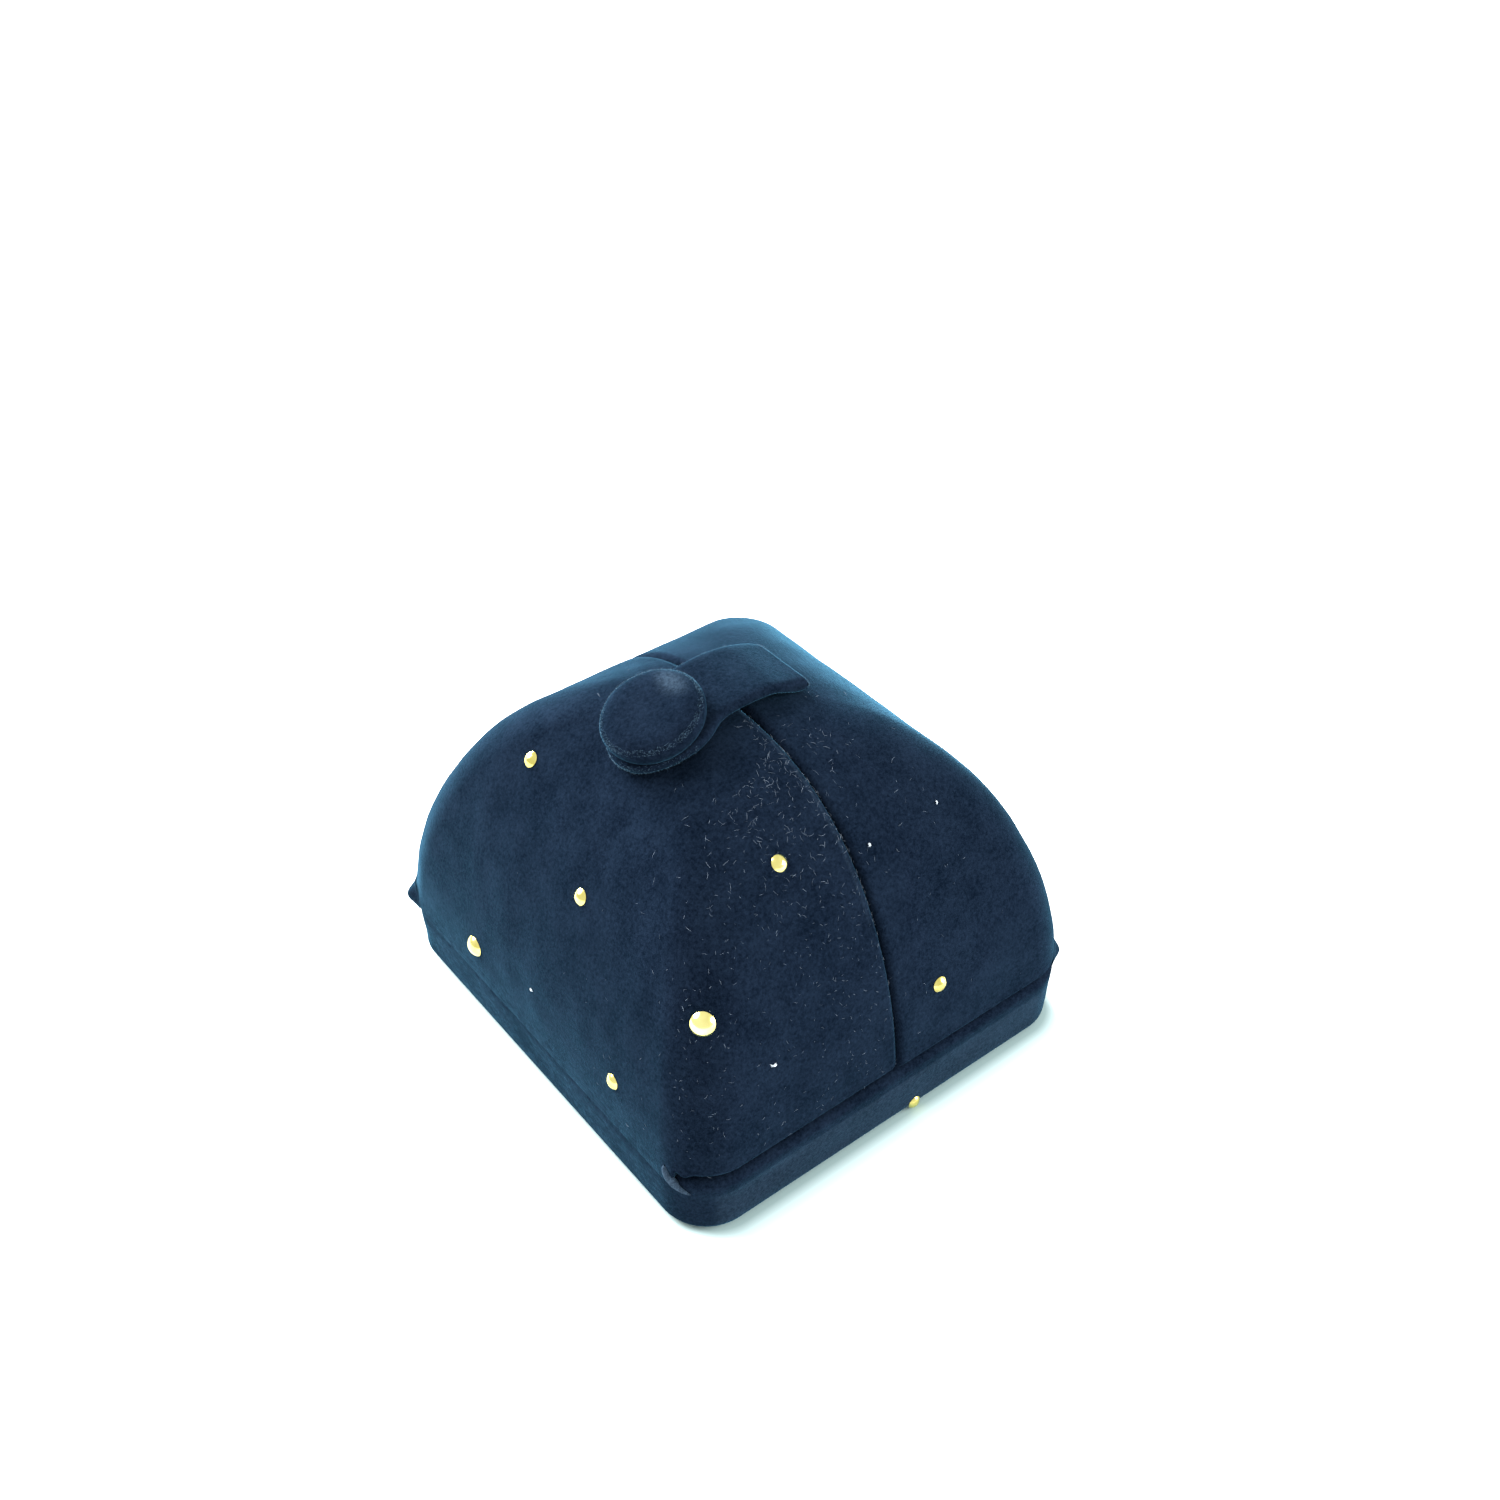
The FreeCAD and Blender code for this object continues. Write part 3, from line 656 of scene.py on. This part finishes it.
def above_lid(x, offset):
    step = 0.01
    slope = (profile_z(x + step) - profile_z(x - step)) / (2 * step)
    look = np.array([-slope, 0, 1]) / math.hypot(slope, 1)
    return np.array([x, 0, profile_z(x)]) + look * offset, look


def strap_lift(x):
    return STRAP_GAP + STRAP_ARCH * math.exp(-(x / STRAP_ARCH_WIDTH) ** 2)


def strap_side(x, back):
    """Edge of the strap in plan: a bar set slightly back with one round corner, and the button's disc."""
    bar = STRAP_HALF + (STRAP_SHIFT if back else -STRAP_SHIFT)
    from_corner = x - (STRAP_END_X - STRAP_CORNER)
    if back and from_corner > 0:
        bar += math.sqrt(max(STRAP_CORNER ** 2 - from_corner ** 2, 0.0)) - STRAP_CORNER
    disc = math.sqrt(max(STRAP_DISC_R ** 2 - (x - STRAP_DISC_X) ** 2, 0.0))
    if x < STRAP_DISC_X:
        return disc
    blend = 0.9
    return 0.5 * (bar + disc + math.hypot(bar - disc, blend)) - 0.5 * (math.hypot(bar, blend) - bar)


def build_strap():
    """Strap as one flat tube of velvet with rounded edges, from the sewn end to the button."""
    end_angles = np.radians(np.linspace(0, 90, 10))
    tip_angles = np.radians(np.linspace(90, 2, 26))
    sections = [(STRAP_END_X - 0.7 * (1 - math.cos(a)), max(math.sin(a), 0.05)) for a in end_angles]
    sections += [(x, 1.0) for x in np.linspace(STRAP_END_X - 0.8, STRAP_DISC_X + 0.1, 70)]
    for a in tip_angles:
        reach = STRAP_DISC_R * math.cos(a)
        rest = STRAP_DISC_R - reach
        closing = math.sqrt(1 - (1 - min(rest / 0.7, 1.0)) ** 2)
        sections.append((STRAP_DISC_X - reach, max(closing, 0.05)))
    around = 48
    verts = []
    for x, closing in sections:
        settle = float(smooth_step(x, PIVOT_X - 4.0, STRAP_END_X - 0.6))
        low = (1 - settle) * strap_lift(x)
        thick = STRAP_THICK + 0.7 * settle * strap_lift(x)
        for k in range(around):
            angle = 2 * math.pi * k / around
            across = math.copysign(abs(math.cos(angle)) ** 0.2, math.cos(angle))
            up = math.copysign(abs(math.sin(angle)) ** 0.6, math.sin(angle))
            half = max(strap_side(x, across > 0), 0.03)
            place, _ = above_lid(x, low + thick / 2 * (1 + up * closing))
            verts.append((place[0], half * across, place[2]))
    rows = len(sections)
    faces = grid_faces(rows, around, closed=True)
    faces.append(tuple(range(around)))
    faces.append(tuple(range((rows - 1) * around, rows * around))[::-1])
    verts = np.array(verts)
    verts[:, 2] += waves(verts, 7.0, 31) * 0.04
    strap = make_object("strap_cover", verts, faces, VELVET)
    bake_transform(strap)
    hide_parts("strap_velvet", "strap_tail", "strap_core")
    return strap


def button_seat():
    """Centre of the button's underside and the way the button looks."""
    seat, look = above_lid(BUTTON_SEAT_X, strap_lift(BUTTON_SEAT_X) + STRAP_THICK + 0.03)
    slide = (BUTTON_X - BUTTON_SEAT_X) / look[2]
    return seat + slide * np.array([look[2], 0, -look[0]]), look


def build_button():
    """Covered button: a crowned disc with a soft rounded rim, drawn in underneath."""
    place, look = button_seat()
    outline = []
    for a in np.radians(np.linspace(88, 0, 20)):
        outline.append((math.cos(a) ** 0.34, BUTTON_HEIGHT * (0.5 + 0.5 * math.sin(a) ** 0.95)))
    outline += [(0.995, 0.9), (0.98, 0.5), (0.96, 0.2), (0.94, 0.02), (0.9, -0.04), (0.7, -0.05)]
    around = 120
    verts = [(0, 0, BUTTON_HEIGHT)]
    for share, height in outline:
        for k in range(around):
            angle = 2 * math.pi * k / around
            verts.append((BUTTON_R * share * math.cos(angle), BUTTON_R * share * math.sin(angle), height))
    verts.append((0, 0, -0.05))
    faces = [(0, 1 + k, 1 + (k + 1) % around) for k in range(around)]
    for i in range(len(outline) - 1):
        for k in range(around):
            a, b = 1 + i * around + k, 1 + i * around + (k + 1) % around
            faces.append((a, a + around, b + around, b))
    last = 1 + (len(outline) - 1) * around
    faces += [(last + k, len(verts) - 1, last + (k + 1) % around) for k in range(around)]
    verts = np.array(verts)
    from_patch = np.hypot((verts[:, 0] - 4.1) / 2.0, (verts[:, 1] - 1.0) / 3.6)
    pile = 1 + 0.2 * smooth_step(-from_patch, -1.0, 0.0) * smooth_step(verts[:, 2], 1.2, 2.4)
    # Painted shade: less sheen low on the rim, where the button sits on the strap.
    pile -= 0.55 * smooth_step(-verts[:, 2], -1.9, -1.2)
    verts[:, 2] += waves(verts, 5.0, 41) * 0.05 * smooth_step(verts[:, 2], 1.2, 2.4)
    turn = Vector((0, 0, 1)).rotation_difference(Vector(look)).to_matrix()
    verts = [tuple(turn @ Vector(v) + Vector(place)) for v in verts]
    button = make_object("button_velvet", verts, faces, VELVET, pile)
    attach(button, "strap")
    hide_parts("button_cover")
    return button


# ---------------------------------------------------------------- inside

def rounded_ring(half_x, half_y, radius, count):
    """Points round a rounded rectangle, the same number in each quarter."""
    out = []
    for quarter in range(4):
        sx = 1 if quarter in (0, 3) else -1
        sy = 1 if quarter in (0, 1) else -1
        for k in range(count):
            turn = (quarter + k / (count - 1)) * math.pi / 2
            x = sx * (half_x - radius) + radius * math.cos(turn)
            out.append((x, sy * (half_y - radius) + radius * math.sin(turn)))
    return np.array(out)


def build_insert():
    """Velvet-covered frame round the ring pad, with soft inner and outer edges."""
    count = 14
    outer = rounded_ring(INSERT_HIGH.x, INSERT_HIGH.y, CORNER - 2.8, count)
    inner = rounded_ring(PAD_HALF_X + 0.3, PAD_OUTER_Y + 0.3, PAD_ROUND + 0.6, count)
    span = outer - inner
    span_length = np.linalg.norm(span, axis=1)[:, None]
    soft = 0.8
    rows = [(outer, INSERT_LOW.z + 0.1), (outer, INSERT_HIGH.z - soft)]
    across = span / span_length
    for a in np.radians(np.linspace(20, 90, 6)):
        rows.append((outer - across * soft * (1 - math.cos(a)), INSERT_HIGH.z - soft * (1 - math.sin(a))))
    for share in np.linspace(0.15, 0.85, 6):
        swell = 0.12 * math.sin(math.pi * share)
        rows.append((outer - across * (soft + share * (span_length - 2 * soft)), INSERT_HIGH.z + swell))
    for a in np.radians(np.linspace(90, 20, 6)):
        rows.append((inner + across * soft * (1 - math.cos(a)), INSERT_HIGH.z - soft * (1 - math.sin(a))))
    rows += [(inner, INSERT_HIGH.z - soft), (inner, INSERT_LOW.z + 0.1)]
    verts = [(x, y, z) for points, z in rows for x, y in points]
    insert = make_object("insert_cover", verts, grid_faces(len(rows), 4 * count, closed=True), VELVET)
    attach(insert, "base")
    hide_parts("insert_frame")


def pad_form(y0, y1, z0, z1):
    """Closed pad with upright sides and a rounded top, in metres at the scale of the simulation."""
    count = 8
    half_y = (y1 - y0) / 2
    levels = [(z0, 0.0), (z0 + 2.5, 0.0), (z1 - PAD_ROUND, 0.0)]
    for a in np.radians(np.linspace(15, 80, 6)):
        levels.append((z1 - PAD_ROUND + PAD_ROUND * math.sin(a), PAD_ROUND * (1 - math.cos(a))))
    verts = []
    for z, inset in levels:
        radius = PAD_ROUND + 0.5 - inset / 2
        for x, y in rounded_ring(PAD_HALF_X - 0.3 - inset, half_y - 0.2 - inset, radius, count):
            verts.append((x, y + (y0 + y1) / 2, z))
    total = 4 * count
    faces = grid_faces(len(levels), total, closed=True)
    faces += [tuple(range(total))[::-1], tuple(range((len(levels) - 1) * total, len(levels) * total))]
    return [tuple(MM * PAD_SIM_SCALE * c for c in v) for v in verts], faces


def build_pad(name, node):
    """One roll of the ring pad: satin pulled over foam, swollen by a cloth simulation."""
    low, high = (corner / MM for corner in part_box(node))
    verts, faces = pad_form(low.y, high.y, low.z, high.z)
    mesh = bpy.data.meshes.new(name)
    mesh.from_pydata(verts, [], faces)
    pad = bpy.data.objects.new(name, mesh)
    bpy.context.scene.collection.objects.link(pad)
    remesh = pad.modifiers.new("even", "REMESH")
    remesh.mode = "VOXEL"
    remesh.voxel_size = PAD_VOXEL
    bake_modifiers(pad)
    rest = read_points(pad)
    held = pad.vertex_groups.new(name="held")
    fixed = (high.z - PAD_FREE_HEIGHT) * MM * PAD_SIM_SCALE
    held.add([i for i, z in enumerate(rest[:, 2]) if z < fixed], 1.0, "REPLACE")
    cloth = pad.modifiers.new("swell", "CLOTH")
    cloth.settings.quality = 6
    cloth.settings.mass = 0.3
    cloth.settings.use_pressure = True
    cloth.settings.uniform_pressure_force = 4.0
    cloth.settings.vertex_group_mass = "held"
    cloth.settings.effector_weights.gravity = 0.0
    cloth.point_cache.frame_start = 1
    cloth.point_cache.frame_end = PAD_SIM_STEPS
    for step in range(1, PAD_SIM_STEPS + 1):
        bpy.context.scene.frame_set(step)
    bake_modifiers(pad)
    bpy.context.scene.frame_set(1)
    moved = read_points(pad) - rest
    length = np.linalg.norm(moved, axis=1)[:, None] + 1e-9
    moved *= np.minimum(1.0, PAD_SWELL / length)
    rest = rest + moved
    points = rest / PAD_SIM_SCALE / MM
    points[:, 0] = np.clip(points[:, 0], low.x - 0.15, high.x + 0.15)
    points[:, 1] = np.clip(points[:, 1], low.y - 0.25, high.y + 0.25)
    points[:, 2] += 0.05 * waves(points, 6.0, 51) * smooth_step(points[:, 2], 9.0, 11.0)
    pad.data.vertices.foreach_set("co", (points * MM).astype(np.float32).ravel())
    pad.data.update()
    detail = pad.modifiers.new("detail", "SUBSURF")
    detail.levels = detail.render_levels = 1
    bake_modifiers(pad)
    for polygon in pad.data.polygons:
        polygon.use_smooth = True
    pad.data.materials.append(SATIN)
    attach(pad, "base")
    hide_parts(node)


def read_points(thing):
    points = np.zeros(len(thing.data.vertices) * 3, dtype=np.float32)
    thing.data.vertices.foreach_get("co", points)
    return points.reshape(-1, 3).astype(float)


def bake_modifiers(thing):
    """Replace the mesh by its evaluated form and take the modifiers off."""
    graph = bpy.context.evaluated_depsgraph_get()
    graph.update()
    mesh = bpy.data.meshes.new_from_object(thing.evaluated_get(graph))
    thing.modifiers.clear()
    thing.data = mesh


# ---------------------------------------------------------------- lint

def build_lint(name, cover, body, count, seed, weight):
    """Loose fibres lying on the velvet: short, thin and slightly curved."""
    draw = np.random.default_rng(seed)
    mesh = cover.data
    points = read_points(cover) / MM
    looks = np.array([vertex.normal for vertex in mesh.vertices])
    chance = np.array([weight(p, n) for p, n in zip(points, looks)])
    chosen = draw.choice(len(points), size=count, replace=False, p=chance / chance.sum())
    verts, faces = [], []
    for index in chosen:
        look = looks[index]
        along = np.cross(look, draw.normal(size=3))
        along /= np.linalg.norm(along)
        side = np.cross(look, along)
        length = draw.uniform(0.12, 0.6) * (1 + 0.6 * float(smooth_step(points[index][2], 33.0, 38.0)))
        bend = draw.normal() * 0.4
        width = draw.uniform(0.006, 0.016)
        middle = points[index] + draw.uniform(-0.5, 0.5) * along + draw.uniform(-0.5, 0.5) * side
        rings = []
        for part in np.linspace(-0.5, 0.5, 5):
            centre = middle + along * part * length + side * bend * length * (part * part - 0.1)
            centre = centre + look * (LINT_LIFT + 0.12 * (0.25 - part * part))
            thin = width * (1.0 - 1.2 * abs(part))
            upper = centre + look * thin - side * 0.5 * thin
            rings.append([centre + side * thin, upper, centre - look * 0.5 * thin - side * thin])
        first = len(verts)
        for ring in rings:
            verts.extend(ring)
        for i in range(4):
            for k in range(3):
                a, b = first + 3 * i + k, first + 3 * i + (k + 1) % 3
                faces.append((a, b, b + 3, a + 3))
        faces.append((first, first + 2, first + 1))
        faces.append((first + 12, first + 13, first + 14))
    make_loose(name, verts, faces, LINT, body)


def build_fringe(name, cover, body, count, seed, chosen, length, material):
    """Upright pile hairs along an edge, coloured pale: a painted highlight, seen as a soft pale line."""
    draw = np.random.default_rng(seed)
    points = read_points(cover) / MM
    looks = np.array([vertex.normal for vertex in cover.data.vertices])
    edge = []
    for face in cover.data.polygons:
        first = face.vertices[0]
        if chosen(points[first], looks[first]):
            edge.append(face.vertices[:])
    verts, faces = [], []
    for pick in draw.integers(0, len(edge), count):
        corners = edge[pick]
        share = draw.dirichlet(np.ones(len(corners)))
        root = share @ points[list(corners)]
        look = share @ looks[list(corners)] + 0.45 * draw.normal(size=3)
        look /= np.linalg.norm(look)
        side = np.cross(look, draw.normal(size=3))
        side *= HAIR_HALF / np.linalg.norm(side)
        tip = root + look * length * draw.uniform(0.5, 1.0)
        first = len(verts)
        verts += [root - side, root + side, tip]
        faces.append((first, first + 1, first + 2))
    make_loose(name, verts, faces, material, body)


def build_specks(name, body, spots, seed):
    """Small white tufts of fluff, each a few crossed curved fibres, at given places in millimetres."""
    draw = np.random.default_rng(seed)
    verts, faces = [], []
    for x, y, z, size in spots:
        place = np.array([x, y, z])
        look = place - np.array([0, 0, RIM_Z + 10.0])
        look /= np.linalg.norm(look)
        for _ in range(5):
            along = np.cross(look, draw.normal(size=3))
            along /= np.linalg.norm(along)
            side = np.cross(look, along)
            first = len(verts)
            for part in np.linspace(-1, 1, 5):
                centre = place + size * (part * along + draw.uniform(-0.2, 0.2) * side)
                centre = centre + look * (0.2 - 0.12 * part ** 2)
                wide = 0.22 * size * (1.1 - part ** 2)
                verts += [centre + side * wide, centre + look * wide, centre - side * wide]
            for i in range(4):
                for k in range(3):
                    a, b = first + 3 * i + k, first + 3 * i + (k + 1) % 3
                    faces.append((a, b, b + 3, a + 3))
    make_loose(name, verts, faces, FLUFF, body)


def left_lint_weight(point, look):
    """More lint on the front face near the seam and under the strap, a little on the ridge."""
    x, y, z = point
    if z < RIM_Z + 1.5 or look[2] < -0.05:
        return 0.0
    front = 1.0 if y < -4 and look[1] < -0.25 else 0.0
    ridge = 0.35 if y < -8 and look[0] < -0.2 else 0.0
    seam = 2.0 * math.exp(-(x / 1.6) ** 2) if z > 24 and y < -4 else 0.0
    return 0.02 + front * (0.5 + math.exp(-(x + 6) ** 2 / 60)) + ridge + seam


def right_lint_weight(point, _look):
    """A little lint everywhere, more on the front face."""
    x, y, z = point
    if z < RIM_Z + 1.5:
        return 0.0
    return 0.1 + (0.6 if y < -4 and x < 14 else 0.0)


# ---------------------------------------------------------------- scene

def build_stage():
    """Plain pale floor, with a painted contact shadow right beside the box."""
    size = 3.0
    mesh = bpy.data.meshes.new("floor")
    corners = [(-size, -size, 0), (size, -size, 0), (size, size, 0), (-size, size, 0)]
    mesh.from_pydata(corners, [], [(0, 1, 2, 3)])
    floor = bpy.data.objects.new("floor", mesh)
    bpy.context.scene.collection.objects.link(floor)
    floor.location.z = -0.00002
    material, tree, shader, place = new_material("pale_floor")
    apart = tree.nodes.new("ShaderNodeSeparateXYZ")
    tree.links.new(place, apart.inputs["Vector"])
    # Painted shadow, shifted a little towards the front right.
    shift = (0.5 * MM, -0.9 * MM)
    half = (HALF_WIDTH - CORNER, HALF_DEPTH - CORNER)
    over = []
    for axis, offset, reach in zip("XY", shift, half):
        distance = add_math(tree, "ABSOLUTE", add_math(tree, "SUBTRACT", apart.outputs[axis], offset), 0.0)
        over.append(add_math(tree, "MAXIMUM", add_math(tree, "SUBTRACT", distance, reach * MM), 0.0))
    squares = add_math(tree, "ADD", *(add_math(tree, "POWER", distance, 2.0) for distance in over))
    beyond = add_math(tree, "SUBTRACT", add_math(tree, "SQRT", squares, 0.0), (CORNER - 1.0) * MM)
    factor = add_math(tree, "DIVIDE", beyond, 5.0 * MM)
    shadow_tint = [(0.0, (0.34, 0.45, 0.44)), (0.26, (0.69, 0.84, 0.83)),
            (0.55, (0.87, 0.94, 0.94)), (1.0, (0.92, 0.95, 0.95))]
    tree.links.new(add_ramp(tree, factor, shadow_tint), shader.inputs["Base Color"])
    shader.inputs["Roughness"].default_value = 0.9
    shader.inputs["Specular IOR Level"].default_value = 0.1
    mesh.materials.append(material)


def add_light(name, place, aim, size, power, color):
    data = bpy.data.lights.new(name, "AREA")
    data.shape = "DISK"
    data.size = size
    data.energy = power
    data.color = color
    light = bpy.data.objects.new(name, data)
    light.location = place
    light.rotation_euler = (Vector(aim) - Vector(place)).to_track_quat("-Z", "Y").to_euler()
    bpy.context.scene.collection.objects.link(light)


def build_lights():
    world = bpy.data.worlds.new("studio")
    bpy.context.scene.world = world
    world.use_nodes = True
    back = world.node_tree.nodes["Background"]
    back.inputs["Color"].default_value = (0.95, 0.99, 1.0, 1)
    back.inputs["Strength"].default_value = 1.2
    add_light("key", (-0.25, 0.42, 0.42), (0, 0, 0.02), 0.45, 8.0, (0.97, 0.99, 1.0))
    add_light("back", (0.05, 0.70, 0.22), (0, 0, 0.03), 0.4, 24.0, (0.97, 0.99, 1.0))
    add_light("side", (0.55, -0.50, 0.28), (0, 0, 0.02), 0.45, 10.0, (0.97, 0.99, 1.0))
    bpy.context.scene.view_settings.view_transform = "Standard"


def build_camera():
    """Camera over the front left corner, looking down at about 39 degrees."""
    azimuth, elevation, roll = (math.radians(v) for v in CAMERA_ANGLES)
    level = math.cos(elevation)
    back = Vector((math.sin(azimuth) * level, -math.cos(azimuth) * level, math.sin(elevation)))
    right = Vector((math.cos(azimuth), math.sin(azimuth), 0))
    up = back.cross(right)
    right, up = right * math.cos(roll) + up * math.sin(roll), up * math.cos(roll) - right * math.sin(roll)
    place = Vector(CAMERA_AIM) + back * CAMERA_DISTANCE
    data = bpy.data.cameras.new("camera")
    data.sensor_width = CAMERA_SENSOR
    data.lens = CAMERA_LENS
    data.clip_start = 0.01
    camera = bpy.data.objects.new("camera", data)
    camera.matrix_world = Matrix.Translation(place) @ Matrix((right, up, back)).transposed().to_4x4()
    bpy.context.scene.collection.objects.link(camera)
    bpy.context.scene.camera = camera


build_camera()
build_stage()
build_lights()
dress_cad_nodes()
left_cover = build_door(-1, "left_cover", RIM_GAP + 0.32, RIM_ROLL * 1.2, 3)
right_cover = build_door(1, "right_cover", RIM_GAP + 0.1, RIM_ROLL, 5)
build_knobs("left_knob", -1, [(1, 1.5, 1.5, 1.9, 0.1)])
build_knobs("right_knobs", 1, [(-1, 1.15, 1.3, 1.6, 0.1), (1, 1.2, 1.4, 1.9, 0.1)])
build_fold()
build_base()
strap = build_strap()
button = build_button()
build_insert()
build_pad("ring_pad_front", "ring_pad_cover_front")
build_pad("ring_pad_back", "ring_pad_cover_back")
build_specks("left_specks", "left_door", [(-17.5, -30.5, 21.5, 0.42), (-29.4, 0.1, 15.4, 0.3)], 81)
build_specks("right_specks", "right_door", [(12.9, -22.1, 37.2, 0.24), (2.4, -22.5, 36.8, 0.26)], 82)
seat, seat_look = button_seat()


def on_button_rim(point, _normal):
    return abs(float(np.dot(point - seat, seat_look)) - BUTTON_RIM_HEIGHT) < BUTTON_RIM_HALF


def on_strap_edge(point, normal):
    return abs(normal[2]) < 0.75 and (point[1] > 2 or point[0] < STRAP_DISC_X) and point[0] < PIVOT_X - 2.4


def on_strap_end(point, normal):
    return abs(normal[2]) < 0.75 and (point[1] > 2 or point[0] > PIVOT_X + 1.2) and point[0] > PIVOT_X + 0.8


build_fringe("button_fringe", button, "strap", 1500, 71, on_button_rim, 0.25, FRINGE_HIGHLIGHT)
build_fringe("strap_fringe", strap, "strap", 1000, 72, on_strap_edge, 0.26, FRINGE_HIGHLIGHT)
build_fringe("strap_end_fringe", strap, "right_door", 600, 73, on_strap_end, 0.24, FRINGE_HIGHLIGHT)
build_lint("left_lint", left_cover, "left_door", 680, 61, left_lint_weight)
build_lint("right_lint", right_cover, "right_door", 110, 62, right_lint_weight)
